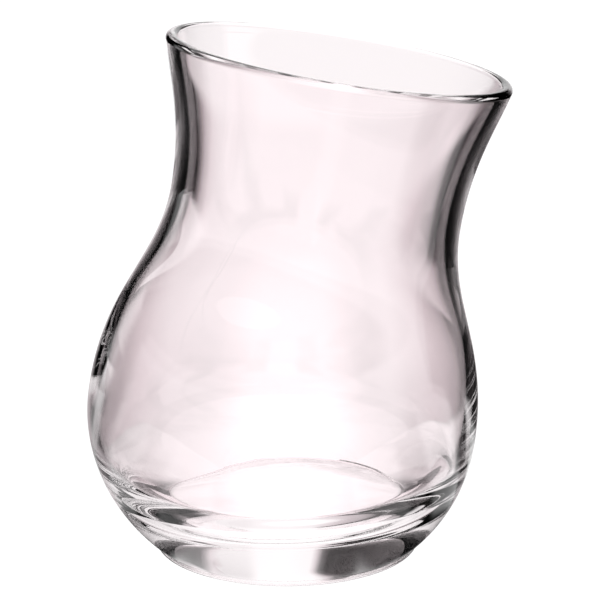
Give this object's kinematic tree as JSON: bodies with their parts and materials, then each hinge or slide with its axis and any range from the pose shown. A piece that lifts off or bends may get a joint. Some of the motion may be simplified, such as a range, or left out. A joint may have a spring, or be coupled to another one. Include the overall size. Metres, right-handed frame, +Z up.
{
  "type": "tea glass",
  "caption": "Small clear tea glass with a round belly, pinched waist and flared lip, leaning on a level foot cut into its thick bottom. Holds hot tea.",
  "frame": {"origin": "middle of the level foot that the glass stands on", "axes": "+Z up from the table; the glass leans by 9 degrees towards +X, and its front in the picture faces -Y"},
  "size_m": [0.0691, 0.0646, 0.0858],
  "materials": {
    "glass": "clear polished glass, smooth all over, with the faintest lilac cast"
  },
  "bodies": {
    "root": {"glass": "glass"}
  },
  "joints": []
}
